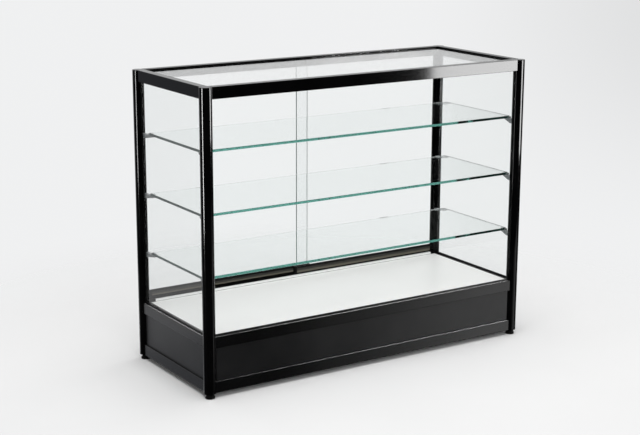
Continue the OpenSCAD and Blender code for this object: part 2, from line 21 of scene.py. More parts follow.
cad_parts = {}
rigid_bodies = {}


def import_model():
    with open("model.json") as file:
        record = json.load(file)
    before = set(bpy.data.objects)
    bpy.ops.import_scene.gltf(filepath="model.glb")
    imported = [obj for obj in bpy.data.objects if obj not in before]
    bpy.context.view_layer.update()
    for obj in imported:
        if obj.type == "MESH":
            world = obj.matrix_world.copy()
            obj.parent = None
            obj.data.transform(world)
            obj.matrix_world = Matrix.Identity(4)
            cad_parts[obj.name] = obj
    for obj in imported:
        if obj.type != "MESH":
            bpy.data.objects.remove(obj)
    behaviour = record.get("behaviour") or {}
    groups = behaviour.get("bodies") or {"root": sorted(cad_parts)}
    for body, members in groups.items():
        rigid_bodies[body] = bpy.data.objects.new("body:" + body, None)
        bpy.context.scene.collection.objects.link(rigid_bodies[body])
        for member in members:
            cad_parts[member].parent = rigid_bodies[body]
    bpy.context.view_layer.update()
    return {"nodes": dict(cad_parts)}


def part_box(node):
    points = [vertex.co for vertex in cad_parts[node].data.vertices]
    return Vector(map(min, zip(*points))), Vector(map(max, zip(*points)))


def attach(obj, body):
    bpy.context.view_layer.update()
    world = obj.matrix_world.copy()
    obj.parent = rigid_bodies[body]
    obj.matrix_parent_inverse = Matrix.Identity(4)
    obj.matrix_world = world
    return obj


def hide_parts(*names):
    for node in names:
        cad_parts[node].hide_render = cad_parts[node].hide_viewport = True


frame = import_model()

LOG = logging.getLogger("display_case")
MM = 0.001

Tone = tuple[float, float, float]
Point = tuple[float, float, float]
Span = tuple[float, float]
Node = bpy.types.Node
Socket = bpy.types.NodeSocket

# Most of a noise lies in this part of its range from 0 to 1.
NOISE_SPAN: Span = (0.3, 0.7)
# Watts that give a lamp of one square metre a radiance of 1.
WATTS_PER_RADIANCE = 4.0


class Axis(IntEnum):
    """The three axes, numbered as in a point."""

    X = 0
    Y = 1
    Z = 2


class Corner(Enum):
    """The four posts, each with the signs of its X and Y."""

    FRONT_LEFT = ("front_left", -1, -1)
    FRONT_RIGHT = ("front_right", 1, -1)
    REAR_LEFT = ("rear_left", -1, 1)
    REAR_RIGHT = ("rear_right", 1, 1)

    @property
    def label(self) -> str:
        """The corner's part of a node's name."""
        return self.value[0]

    @property
    def signs(self) -> tuple[int, int]:
        """The signs of the corner's X and Y."""
        return self.value[1:]


class Side(Enum):
    """The four sides of the case."""

    FRONT = "front"
    REAR = "rear"
    LEFT = "left"
    RIGHT = "right"


class Level(Enum):
    """The three shelves."""

    BOTTOM = "bottom"
    MIDDLE = "middle"
    TOP = "top"


class Hand(Enum):
    """The two sliding doors."""

    LEFT = "left"
    RIGHT = "right"


class PlateFace(IntEnum):
    """The kinds of face on a glass plate, numbered as its finishes are listed."""

    FLAT = 0
    EDGE = 1
    END = 2


class Ray(Enum):
    """Outputs of the Light Path node that tell rays apart."""

    CAMERA = "Is Camera Ray"
    SHADOW = "Is Shadow Ray"
    DIFFUSE = "Is Diffuse Ray"
    GLOSSY = "Is Glossy Ray"
    REFLECTION = "Is Reflection Ray"
    SHARP = "Is Singular Ray"
    TRANSMISSION = "Is Transmission Ray"


class LampUse(Enum):
    """What a lamp is for: lighting matt surfaces, or shining in glossy ones."""

    FILL = "fill"
    SHINE = "shine"


class NodeSheet:
    """Adds nodes to one node tree and joins their sockets."""

    def __init__(self, tree: bpy.types.NodeTree) -> None:
        """Empties the tree.

        Args:
            tree: node tree of a material or of the world.
        """
        self.tree = tree
        self.tree.nodes.clear()

    def add(self, kind: str, **inputs: object) -> Node:
        """Adds a node and fills its inputs.

        Args:
            kind: type of the node, without its "ShaderNode" prefix.
            **inputs: value or output socket per input, with _ for each blank in its name.

        Returns:
            The new node.
        """
        node = self.tree.nodes.new("ShaderNode" + kind)
        for name, value in inputs.items():
            self.feed(node.inputs[name.replace("_", " ")], value)
        return node

    def feed(self, socket: Socket, value: object) -> None:
        """Links an output socket to an input, or sets the input to a plain value.

        Args:
            socket: the input.
            value: output socket, tone or other value.
        """
        if isinstance(value, Socket):
            self.tree.links.new(value, socket)
        elif isinstance(value, tuple) and socket.type == "RGBA":
            socket.default_value = (*value, 1.0)
        else:
            socket.default_value = value

    def ray(self, kind: Ray) -> Socket:
        """The Light Path output that is 1 for this kind of ray."""
        return self.add("LightPath").outputs[kind.value]

    def place(self) -> Socket:
        """Object coordinates, in metres."""
        return self.add("TexCoord").outputs["Object"]

    def along(self, axis: Axis) -> Socket:
        """One of the object coordinates."""
        return self.add("SeparateXYZ", Vector=self.place()).outputs[axis.name]

    def noise(self, grain: float, stretch: Point = (1.0, 1.0, 1.0), detail: float = 3.0) -> Socket:
        """A noise from 0 to 1 over the object.

        Args:
            grain: size of its spots.
            stretch: how much longer the spots are along each axis.
            detail: octaves of finer noise.

        Returns:
            The noise's factor.
        """
        scale = tuple(1.0 / (grain * s) for s in stretch)
        mapping = self.add("Mapping", Vector=self.place(), Scale=Vector(scale))
        return self.add("TexNoise", Vector=mapping.outputs[0], Scale=1.0, Detail=detail).outputs[0]

    def between(self, factor: Socket, span: Span, source: Span = NOISE_SPAN) -> Socket:
        """Maps a factor smoothly from one span onto another, held at both ends.

        Args:
            factor: the factor.
            span: span of the result.
            source: span of the factor.

        Returns:
            The mapped factor.
        """
        node = self.add("MapRange", Value=factor)
        node.interpolation_type = "SMOOTHSTEP"
        for name, value in zip(("From Min", "From Max", "To Min", "To Max"), (*source, *span)):
            node.inputs[name].default_value = value
        return node.outputs[0]

    def rise(self, factor: Socket, source: Span) -> Socket:
        """Goes smoothly from 0 to 1 while a factor passes a span."""
        return self.between(factor, (0.0, 1.0), source)

    def times(self, first: Socket, second: Socket) -> Socket:
        """Multiplies two factors.

        Args:
            first: one factor.
            second: the other one.

        Returns:
            Their product.
        """
        node = self.add("Math")
        node.operation = "MULTIPLY"
        for socket, value in zip(node.inputs, (first, second)):
            self.feed(socket, value)
        return node.outputs[0]

    def ramp(self, factor: Socket, stops: Sequence[tuple[float, Tone]]) -> Socket:
        """A colour that goes evenly from tone to tone.

        Args:
            factor: a factor from 0 to 1.
            stops: place and tone of each stop, in rising order.

        Returns:
            The colour.
        """
        node = self.add("ValToRGB", Fac=factor)
        elements = node.color_ramp.elements
        while len(elements) < len(stops):
            elements.new(1.0)
        for element, (place, tone) in zip(elements, stops):
            element.position = place
            element.color = (*tone, 1.0)
        return node.outputs[0]

    def tones(self, noise: Socket, deep: Tone, pale: Tone) -> Socket:
        """A colour between two tones that follows a noise."""
        return self.ramp(noise, tuple(zip(NOISE_SPAN, (deep, pale))))

    def bump(self, height: Socket, depth: float) -> Socket:
        """A normal bent by a height map of this depth."""
        return self.add("Bump", Strength=1.0, Distance=depth, Height=height).outputs[0]

    def glow(self, tone: Tone) -> Node:
        """An even light of one tone, for the world."""
        return self.add("Background", Color=tone, Strength=1.0)

    def either(self, factor: Socket, first: Node, second: Node) -> Node:
        """Mixes two shaders.

        Args:
            factor: share of the second one.
            first: the shader at factor 0.
            second: the shader at factor 1.

        Returns:
            The mix.
        """
        mix = self.add("MixShader", Fac=factor)
        self.tree.links.new(first.outputs[0], mix.inputs[1])
        self.tree.links.new(second.outputs[0], mix.inputs[2])
        return mix

    def clear_to(self, rays: Iterable[Ray], shader: Node) -> Node:
        """Lets some rays pass a shader unbent and unchanged.

        Args:
            rays: kinds of ray that pass.
            shader: what the other rays meet.

        Returns:
            The shader for all rays.
        """
        for kind in rays:
            shader = self.either(self.ray(kind), shader, self.add("BsdfTransparent"))
        return shader


@dataclass(frozen=True)
class Finish:
    """A named finish. Subclasses lay out its shader."""

    name: str

    def shader(self, sheet: NodeSheet) -> Node:
        """Lays out the nodes of the surface and returns the last shader."""
        raise NotImplementedError

    def depth(self, sheet: NodeSheet) -> Node | None:
        """Lays out what fills the space behind the surface, where the finish has that."""
        return None

    def material(self) -> bpy.types.Material:
        """Makes the finish's material at its first use.

        Returns:
            The material.
        """
        found = bpy.data.materials.get(self.name)
        if found is None:
            found = bpy.data.materials.new(self.name)
            found.use_nodes = True
            sheet = NodeSheet(found.node_tree)
            output = sheet.add("OutputMaterial")
            sheet.feed(output.inputs["Surface"], self.shader(sheet).outputs[0])
            depth = self.depth(sheet)
            if depth is not None:
                sheet.feed(output.inputs["Volume"], depth.outputs[0])
        return found


@dataclass(frozen=True)
class Coating(Finish):
    """An opaque finish: two tones, a span of roughness and a fine relief, all from noise.

    The tones follow broad spots. Roughness and relief follow the finish's own grain. Both
    noises can be drawn out along one axis by stretch.
    """

    deep: Tone
    pale: Tone
    roughness: Span
    grain: float
    relief: float
    specular: float = 0.5
    metallic: float = 0.0
    patch: float = 0.12
    stretch: Point = (1.0, 1.0, 1.0)

    def shader(self, sheet: NodeSheet) -> Node:
        """Lays out the nodes of the surface.

        Args:
            sheet: the material's nodes.

        Returns:
            The last shader.
        """
        spots = sheet.noise(self.patch, self.stretch)
        grain = sheet.noise(self.grain, self.stretch)
        return sheet.add(
            "BsdfPrincipled",
            Base_Color=sheet.tones(spots, self.deep, self.pale),
            Roughness=sheet.between(grain, self.roughness),
            Metallic=self.metallic,
            Specular_IOR_Level=self.specular,
            Normal=sheet.bump(grain, self.relief),
        )


@dataclass(frozen=True)
class BandedCoating(Coating):
    """A coating whose tone goes over into others at given heights above the floor.

    Each band is a height and the tone there, and between two heights the tone changes
    evenly. The coating's own two tones, which follow the noise, are multiplied by it. The
    bands paint light and shade as well as tones of the thing itself.
    """

    bands: tuple[tuple[float, Tone], ...] = ()

    def shader(self, sheet: NodeSheet) -> Node:
        """Lays out the nodes of the surface.

        Args:
            sheet: the material's nodes.

        Returns:
            The last shader.
        """
        coat = super().shader(sheet)
        streaks = coat.inputs["Base Color"].links[0].from_socket
        low, high = self.bands[0][0], self.bands[-1][0]
        rise = sheet.add("MapRange", Value=sheet.along(Axis.Z), From_Min=low, From_Max=high)
        stops = [((height - low) / (high - low), tone) for height, tone in self.bands]
        banded = sheet.ramp(rise.outputs[0], stops)
        mix = sheet.add("MixRGB", Fac=1.0, Color1=banded, Color2=streaks)
        mix.blend_type = "MULTIPLY"
        sheet.feed(coat.inputs["Base Color"], mix.outputs[0])
        return coat


@dataclass(frozen=True)
class ClearGlass(Finish):
    """A polished face of a glass plate.

    Camera rays bend and reflect. Lamp light, soft light and what other things mirror pass
    straight through. The tint drifts a little from place to place, as float glass does.
    Where the glass has a stain, light that goes through its body takes on that colour, the
    more so with its way in the glass and with the density.
    """

    deep: Tone
    pale: Tone
    ior: float
    patch: float = 0.5
    open_to: tuple[Ray, ...] = (Ray.DIFFUSE, Ray.SHADOW)
    stain: Tone | None = None
    density: float = 0.0
    echo: bool = True

    def shader(self, sheet: NodeSheet) -> Node:
        """Lays out the nodes of the surface.

        Args:
            sheet: the material's nodes.

        Returns:
            The last shader.
        """
        glass = sheet.add(
            "BsdfPrincipled",
            Base_Color=sheet.tones(sheet.noise(self.patch), self.deep, self.pale),
            Roughness=0.0,
            IOR=self.ior,
            Transmission_Weight=1.0,
        )
        mirrored = sheet.either(sheet.ray(Ray.REFLECTION), glass, self.unbent(sheet, glass))
        return sheet.clear_to(self.open_to, mirrored)

    def unbent(self, sheet: NodeSheet, glass: Node) -> Node:
        """Lets a mirrored ray in unbent, and out again once it came in that way.

        A ray that the plate mirrors inside itself bends as it leaves, or is lost where the
        glass has no echo.

        Args:
            sheet: the material's nodes.
            glass: shader of the polished face.

        Returns:
            The shader for mirrored rays.
        """
        came_in = sheet.add("Math", Value=sheet.add("LightPath").outputs["Transparent Depth"])
        came_in.operation = "GREATER_THAN"
        inside = sheet.add("NewGeometry").outputs["Backfacing"]
        clear = sheet.add("BsdfTransparent")
        caught = glass if self.echo else sheet.add("BsdfTransparent", Color=(0.0, 0.0, 0.0))
        return sheet.either(inside, clear, sheet.either(came_in.outputs[0], caught, clear))

    def depth(self, sheet: NodeSheet) -> Node | None:
        """Lays out the body of stained glass.

        Args:
            sheet: the material's nodes.

        Returns:
            The body's shader, or None where the glass has no stain.
        """
        if self.stain is None:
            return None
        return sheet.add("VolumeAbsorption", Color=self.stain, Density=self.density)


@dataclass(frozen=True)
class GlassEdge(Finish):
    """A ground edge of a glass plate, which shows the colour of the glass in depth.

    The colour runs in soft streaks along the edge, and it is the same from inside the
    plate. Beyond the place along X that lined_from gives, painted shade hides it: a black
    tone where the edge lies beside a post, in its shade.
    """

    deep: Tone
    pale: Tone
    roughness: float
    run: Point
    streak: float = 20.0 * MM
    # painted shade: from this place along X the edge is painted black, for the post's shade
    lined_from: float | None = None
    lining: Tone = (0.004, 0.004, 0.004)
    lining_fade: float = 10.0 * MM

    def shader(self, sheet: NodeSheet) -> Node:
        """Lays out the nodes of the surface.

        Args:
            sheet: the material's nodes.

        Returns:
            The last shader.
        """
        tone = sheet.tones(sheet.noise(self.streak, self.run), self.deep, self.pale)
        # painted shade laid over the edge beyond lined_from
        if self.lined_from is not None:
            shaded = sheet.rise(sheet.along(Axis.X), (self.lined_from, self.lined_from + self.lining_fade))
            tone = sheet.add("MixRGB", Fac=shaded, Color1=tone, Color2=self.lining).outputs[0]
        return sheet.add("BsdfPrincipled", Base_Color=tone, Roughness=self.roughness)


@dataclass(frozen=True)
class FloorPaint(Finish):
    """A matt grey that fades out with the distance from the case."""

    greys: Span
    patch: float
    fade: Span

    def shader(self, sheet: NodeSheet) -> Node:
        """Lays out the nodes of the surface.

        Args:
            sheet: the material's nodes.

        Returns:
            The last shader.
        """
        deep, pale = ((grey, grey, grey) for grey in self.greys)
        matt = sheet.add("BsdfDiffuse", Color=sheet.tones(sheet.noise(self.patch), deep, pale))
        away = sheet.add("VectorMath")
        away.operation = "LENGTH"
        sheet.feed(away.inputs[0], sheet.place())
        gone = sheet.rise(away.outputs["Value"], self.fade)
        return sheet.either(gone, matt, sheet.add("BsdfTransparent"))


BLACK_COAT = Coating("satin_black_coat", (0.0008, 0.0008, 0.0009), (0.0022, 0.0022, 0.0024), (0.07, 0.11),
                     grain=0.8 * MM, relief=0.002 * MM, specular=0.15)
DULL_COAT = replace(BLACK_COAT, name="dull_black_coat", specular=0.04)
BASE_COAT = Coating("base_rail_coat", (0.0012, 0.0012, 0.0013), (0.0030, 0.0030, 0.0032), (0.22, 0.28),
                    grain=0.8 * MM, relief=0.002 * MM, specular=0.3)
BLACK_LAMINATE = Coating("black_laminate", (0.006, 0.006, 0.0064), (0.011, 0.011, 0.0116), (0.30, 0.40),
                         grain=1.2 * MM, relief=0.02 * MM, specular=0.32)
# the grey band at the ledge's foot is partly the seam against the deck and partly painted contact shade
WHITE_LEDGE_SHADED_SEAM = BandedCoating("white_ledge_shaded_seam", (0.95, 0.95, 0.95), (1.0, 1.0, 1.0), (0.30, 0.42),
                           grain=1.0 * MM, relief=0.01 * MM, patch=0.2,
                           bands=((0.1920, (0.42, 0.42, 0.42)), (0.1932, (0.95, 0.95, 0.945)),
                                  (0.198, (0.95, 0.95, 0.945))))
WHITE_LAMINATE = Coating("white_laminate", (0.88, 0.876, 0.865), (0.91, 0.906, 0.895), (0.34, 0.46),
                         grain=1.0 * MM, relief=0.01 * MM, patch=0.2)
BLACK_RUBBER = Coating("black_rubber", (0.004, 0.004, 0.004), (0.010, 0.010, 0.010), (0.20, 0.30),
                       grain=0.5 * MM, relief=0.02 * MM, specular=0.3, patch=0.02)
DRAWN: Point = (60.0, 1.0, 1.0)
BLACK_ANODISED = Coating("black_anodised", (0.003, 0.003, 0.003), (0.006, 0.006, 0.006), (0.30, 0.42),
                         grain=0.5 * MM, relief=0.004 * MM, specular=0.05, patch=0.004, stretch=DRAWN)
# painted light and shade by height: the near-black foot is painted shade deep in the track, the bronze stripe
# is partly the shoe's bronze and partly painted light where it faces up, and darker greys and near-black lie
# above it
BRONZE_PAINTED_LIGHT_AND_SHADE = BandedCoating("bronze_painted_light_and_shade", (0.80, 0.80, 0.79), (1.0, 1.0, 0.99), (0.30, 0.42),
                       grain=0.5 * MM, relief=0.004 * MM, specular=0.06, patch=0.004, stretch=DRAWN,
                       bands=((0.2020, (0.006, 0.006, 0.005)), (0.2035, (0.17, 0.158, 0.128)),
                              (0.2085, (0.15, 0.140, 0.115)), (0.2115, (0.060, 0.057, 0.051)),
                              (0.2175, (0.040, 0.039, 0.036)), (0.2190, (0.007, 0.007, 0.007))))
# painted shade: the rear door's shoe is the same bronze, with its painted shade reaching higher where it sits
# deeper in the track
REAR_BRONZE_PAINTED_LIGHT_AND_SHADE = replace(BRONZE_PAINTED_LIGHT_AND_SHADE, name="bronze_painted_light_and_shade_rear",
                      bands=((0.2060, (0.005, 0.005, 0.004)), (0.2070, (0.17, 0.158, 0.128)),
                             (0.2105, (0.15, 0.140, 0.115)), (0.2120, (0.065, 0.062, 0.056)),
                             (0.2175, (0.045, 0.044, 0.041)), (0.2190, (0.007, 0.007, 0.007))))
CAST_GREY = Coating("grey_casting", (0.20, 0.215, 0.22), (0.31, 0.325, 0.33), (0.38, 0.55),
                    grain=0.6 * MM, relief=0.03 * MM, metallic=0.2, patch=0.006)
PLATED_STEEL = Coating("plated_steel", (0.46, 0.46, 0.45), (0.60, 0.60, 0.58), (0.22, 0.36),
                       grain=0.5 * MM, relief=0.005 * MM, metallic=1.0, patch=0.008)
BLACK_PLASTIC = Coating("moulded_black_plastic", (0.002, 0.002, 0.002), (0.005, 0.005, 0.005), (0.36, 0.5),
                        grain=0.4 * MM, relief=0.02 * MM, specular=0.08, patch=0.02)
WHITE_NYLON = Coating("white_nylon", (0.68, 0.68, 0.65), (0.76, 0.76, 0.73), (0.35, 0.5),
                      grain=0.6 * MM, relief=0.01 * MM, patch=0.004)
CLEAR_PANE = ClearGlass("clear_pane", (0.984, 0.992, 0.991), (0.988, 0.995, 0.994), ior=1.25, echo=False)
SIDE_PANE = ClearGlass("side_pane", (0.966, 0.979, 0.978), (0.972, 0.985, 0.984), ior=1.35, echo=False)
DOOR_PANE = ClearGlass("door_pane", (0.972, 0.982, 0.983), (0.978, 0.988, 0.989), ior=1.25, echo=False)
TOP_PANE = ClearGlass("top_pane", (0.900, 0.907, 0.906), (0.906, 0.913, 0.912), ior=1.35)
GREEN_DEPTH: Tone = (0.03, 0.394, 0.288)
GREEN_DENSITY = 3.3
SHELF_PANE = ClearGlass("shelf_pane", (0.975, 0.988, 0.984), (0.981, 0.992, 0.989), ior=1.5,
                        stain=GREEN_DEPTH, density=GREEN_DENSITY)
SHELF_EDGE = ClearGlass("green_shelf_edge", (0.42, 0.80, 0.77), (0.48, 0.86, 0.83), ior=1.5, patch=0.06,
                        stain=GREEN_DEPTH, density=GREEN_DENSITY)
SHELF_END = GlassEdge("ground_shelf_end", (0.060, 0.093, 0.085), (0.117, 0.170, 0.156), roughness=0.45,
                      run=(1.0, 12.0, 1.0))
# the front door's outer edge is painted black from X 0.5 on, as painted shade beside the rear post
DOOR_EDGE = GlassEdge("green_door_edge", (0.16, 0.22, 0.20), (0.24, 0.31, 0.29), roughness=0.15,
                      run=(1.0, 1.0, 12.0), lined_from=0.5)
# painted light: the rear door's edge is the same glass edge painted paler, standing in for light on it
REAR_DOOR_EDGE_PAINTED_LIGHT = replace(DOOR_EDGE, name="door_edge_painted_light", deep=(0.48, 0.55, 0.53), pale=(0.58, 0.65, 0.63),
                         lined_from=None)
PALE_FLOOR = FloorPaint("floor_paint", greys=(0.83, 0.85), patch=0.6, fade=(0.75, 1.8))


@dataclass
class Surface:
    """Points and faces of a piece, with the number of its finish for each face."""

    points: np.ndarray
    faces: list[list[int]]
    finish_of_face: np.ndarray

    @classmethod
    def joined(cls, parts: Sequence[Surface]) -> Surface:
        """Puts several surfaces into one, each still closed by itself.

        Args:
            parts: the surfaces.

        Returns:
            All of them as one surface.
        """
        starts = np.cumsum([0] + [len(p.points) for p in parts])
        faces = [[int(s) + i for i in f] for s, p in zip(starts, parts) for f in p.faces]
        return cls(np.concatenate([p.points for p in parts]), faces,
                   np.concatenate([p.finish_of_face for p in parts]))

    def moved(self, offset: Sequence[float]) -> Surface:
        """The same surface at another place."""
        return Surface(self.points + np.asarray(offset, float), self.faces, self.finish_of_face)


def ring_faces(rows: int, columns: int) -> np.ndarray:
    """Quads of a grid of rows of points, each row closed to a ring.

    Quad (i, j) joins points j and j + 1 of row i to those of row i + 1, and the last
    column joins the first.

    Args:
        rows: number of rings.
        columns: points in a ring.

    Returns:
        Array of point numbers, four per quad.
    """
    i, j = np.meshgrid(np.arange(rows - 1), np.arange(columns), indexing="ij")
    k = (j + 1) % columns
    row, after = i * columns, (i + 1) * columns
    return np.stack([row + j, row + k, after + k, after + j], axis=-1).reshape(-1, 4)


def turned_surface(radius: np.ndarray, height: np.ndarray, segments: int = 64) -> Surface:
    """A closed surface of revolution about Z.

    Point (i, j) is (r cos a, r sin a, z) with r and z from place i of the profile, which
    runs upwards on the outside, and a = 2 pi j / segments. Where r varies with j as well,
    radius is a grid. A fan of triangles round a point on the axis closes each end.

    Args:
        radius: radii along the profile, or a grid of them.
        height: heights along the profile.
        segments: points round the axis.

    Returns:
        The surface, in one finish.
    """
    rows = len(height)
    j = np.arange(segments)
    k = (j + 1) % segments
    angle = j * 2.0 * math.pi / segments
    r = np.broadcast_to(radius if radius.ndim == 2 else radius[:, None], (rows, segments))
    z = np.broadcast_to(height[:, None], (rows, segments))
    grid = np.stack([r * np.cos(angle), r * np.sin(angle), z], axis=-1).reshape(-1, 3)
    poles = np.array([[0.0, 0.0, height[0]], [0.0, 0.0, height[-1]]])
    foot, head = rows * segments, rows * segments + 1
    last = (rows - 1) * segments
    fans = np.concatenate([np.stack([np.full(segments, foot), k, j], axis=1),
                           np.stack([np.full(segments, head), last + j, last + k], axis=1)])
    faces = ring_faces(rows, segments).tolist() + fans.tolist()
    return Surface(np.concatenate([grid, poles]), faces, np.zeros(len(faces), int))


def arc(centre: Span, radius: float, start: float, end: float, points: int = 6) -> np.ndarray:
    """Points on an arc of a profile, from the start angle to the end angle in degrees."""
    angle = np.radians(np.linspace(start, end, points))
    return np.stack([centre[0] + radius * np.cos(angle), centre[1] + radius * np.sin(angle)], axis=1)


@dataclass(frozen=True)
class GlassPlate:
    """A glass plate with rounded corners and arrissed edges, thin along one axis.

    Around the plate runs the outline of a rounded rectangle. Across its edge the outline
    goes in by the arris, out to full size, straight on, and in again; a flat face closes
    each side.
    """

    low: Vector
    high: Vector
    thin_axis: Axis
    corner_r: float
    arris: float
    corner_points: int = 6

    def surface(self) -> Surface:
        """Works out the plate.

        Returns:
            The closed surface, with its faces pointing outwards.
        """
        w = self.thin_axis
        u, v = (w + 1) % 3, (w + 2) % 3
        turn = np.linspace(0.0, math.pi / 2.0, self.corner_points)
        angle = np.arange(4)[:, None] * math.pi / 2.0 + turn[None, :]
        right = np.array([1, 0, 0, 1])[:, None]
        upper = np.array([1, 1, 0, 0])[:, None]
        cu = np.where(right, self.high[u] - self.corner_r, self.low[u] + self.corner_r)
        cv = np.where(upper, self.high[v] - self.corner_r, self.low[v] + self.corner_r)
        inset = np.array([self.arris, 0.0, 0.0, self.arris])
        across = np.array([self.low[w], self.low[w] + self.arris, self.high[w] - self.arris, self.high[w]])
        rows, columns = len(across), angle.size
        reach = self.corner_r - inset[:, None, None]
        points = np.empty((rows, columns, 3))
        points[:, :, u] = (cu + reach * np.cos(angle)).reshape(rows, columns)
        points[:, :, v] = (cv + reach * np.sin(angle)).reshape(rows, columns)
        points[:, :, w] = across[:, None]
        ring = np.arange(columns)
        faces = ring_faces(rows, columns).tolist()
        faces += [ring[::-1].tolist(), (ring + (rows - 1) * columns).tolist()]
        return Surface(points.reshape(-1, 3), faces, self.finishes(points))

    def finishes(self, points: np.ndarray) -> np.ndarray:
        """Numbers the finish of each face of the surface.

        A face of the edge closes the plate's end where it runs further along v than along u,
        the two axes that follow the thin one.

        Args:
            points: grid of the plate's points, row by row.

        Returns:
            The numbers, in the order of the faces.
        """
        step = np.abs(np.roll(points, -1, axis=1) - points)[1]
        u, v = (self.thin_axis + 1) % 3, (self.thin_axis + 2) % 3
        around = np.where(step[:, v] > step[:, u], int(PlateFace.END), int(PlateFace.EDGE))
        return np.concatenate([np.tile(around, len(points) - 1), [int(PlateFace.FLAT)] * 2])


def add_piece(name: str, surface: Surface, finishes: Sequence[Finish], body: str,
              replaces: Sequence[str] = (), smooth: float = 0.0) -> None:
    """Puts a surface into the scene as a piece of the case.

    Args:
        name: name of the piece.
        surface: its points and faces.
        finishes: its finishes, in the order of the faces' numbers.
        body: body of the frame that it moves with.
        replaces: solids that it stands for.
        smooth: angle in degrees below which edges are shaded smooth; 0 leaves it flat.
    """
    mesh = bpy.data.meshes.new(name)
    mesh.from_pydata(surface.points.tolist(), [], surface.faces)
    for finish in finishes:
        mesh.materials.append(finish.material())
    mesh.polygons.foreach_set("material_index", surface.finish_of_face)
    if smooth:
        mesh.shade_smooth()
        mesh.set_sharp_from_angle(angle=math.radians(smooth))
    mesh.update()
    piece = bpy.data.objects.new(name, mesh)
    bpy.context.scene.collection.objects.link(piece)
    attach(piece, body)
    if replaces:
        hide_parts(*replaces)
    LOG.info("%s: %d faces, on %s", name, len(surface.faces), body)


def dress(nodes: Iterable[str], finish: Finish) -> None:
    """Gives solids of the frame a finish, and keeps their shapes.

    Args:
        nodes: names of the solids.
        finish: what they get.
    """
    for node in nodes:
        for slot in frame["nodes"][node].material_slots:
            slot.material = finish.material()
        LOG.info("%s: %s", node, finish.name)


@dataclass
class Posts:
    """The four round posts with their flat caps and the inserts in their lower ends.

    The innermost ring of points on a cap lies at a share of the cap's radius. Edges below
    an angle in degrees are smooth.
    """

    post_x: float = 0.581
    post_y: float = 0.216
    stem_r: float = 6.0 * MM
    cap_edge_r: float = 0.7 * MM
    cap_dome: float = 0.25 * MM
    dome_rings: int = 8
    inner_ring: float = 0.02
    smooth: float = 35.0

    def build(self) -> None:
        """Dresses the posts and turns a cap for each."""
        dress([f"column_{c.label}" for c in Corner], BLACK_COAT)
        dress(["foot_inserts"], PLATED_STEEL)
        cap = self.cap()
        caps = [cap.moved((x * self.post_x, y * self.post_y, 0.0)) for x, y in (c.signs for c in Corner)]
        add_piece("post_caps", Surface.joined(caps), [BLACK_COAT], "case", ["column_caps"],
                  smooth=self.smooth)

    def cap(self) -> Surface:
        """Turns one cap: stem, flat underside, edge on an arc, and a slightly domed top.

        The top falls off with the square of the distance from the axis.

        Returns:
            The cap, about the Z axis.
        """
        low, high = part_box("column_caps")
        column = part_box("column_front_left")
        under, r = column[1].z, (column[1].x - column[0].x) / 2.0
        rim = r - self.cap_edge_r
        crown = high.z - self.cap_dome - self.cap_edge_r
        edge = arc((rim, crown), self.cap_edge_r, 0.0, 90.0)
        across = np.linspace(rim, r * self.inner_ring, self.dome_rings)[1:]
        dome = np.stack([across, high.z - self.cap_dome * (across / rim) ** 2], axis=1)
        start = np.array([[self.stem_r, low.z], [self.stem_r, under], [r, under]])
        profile = np.concatenate([start, edge, dome])
        return turned_surface(profile[:, 0], profile[:, 1])


@dataclass
class Rails:
    """The twelve rails, the connectors in their ends, and the base with its deck."""

    base_names: tuple[str, ...] = ("base_lower_rail", "base_upper_rail")

    def build(self) -> None:
        """Dresses rails, connectors, base panels, deck and the angles under it."""
        dress([f"top_rail_{s.value}" for s in (Side.FRONT, Side.LEFT)], BLACK_COAT)
        dress([f"top_rail_{s.value}" for s in (Side.REAR, Side.RIGHT)], DULL_COAT)
        dress([f"{n}_{s.value}" for n in self.base_names for s in Side], BASE_COAT)
        dress(["deck_cleats"], BLACK_COAT)
        dress(["rail_connectors"], PLATED_STEEL)
        dress([f"base_panel_{s.value}" for s in Side], BLACK_LAMINATE)
        dress(["deck_panel"], WHITE_LAMINATE)
        dress(["deck_rear_strip"], WHITE_LEDGE_SHADED_SEAM)


@dataclass
class Glazing:
    """The fixed panes and their gaskets."""

    side_panes: tuple[str, ...] = ("left_glass", "right_glass")
    gaskets: tuple[str, ...] = ("glazing_gaskets", "top_glass_gasket")

    def build(self) -> None:
        """Dresses panes and gaskets."""
        dress(["front_glass"], CLEAR_PANE)
        dress(self.side_panes, SIDE_PANE)
        dress(["top_glass"], TOP_PANE)
        dress(self.gaskets, BLACK_RUBBER)


@dataclass
class Shelves:
    """The three loose glass shelves and the clips that carry them."""

    corner_r: float = 3.0 * MM
    arris: float = 0.4 * MM

    def build(self) -> None:
        """Works out each shelf and dresses its clips."""
        for level in Level:
            node = f"shelf_{level.value}"
            low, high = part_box(node)
            plate = GlassPlate(low, high, thin_axis=Axis.Z, corner_r=self.corner_r, arris=self.arris)
            add_piece(f"glass_shelf_{level.value}", plate.surface(), [SHELF_PANE, SHELF_EDGE, SHELF_END],
                      "case", [node])
            dress([f"shelf_clips_{level.value}"], CAST_GREY)


@dataclass
class DoorTrack:
    """The tracks that the doors run in, and the blocks in front of the lower track's ends."""

    channels: tuple[str, ...] = ("door_bottom_track", "door_top_track")

    def build(self) -> None:
        """Dresses the channels and the blocks."""
        dress(self.channels, BLACK_ANODISED)
        dress(["track_end_blocks"], BLACK_PLASTIC)


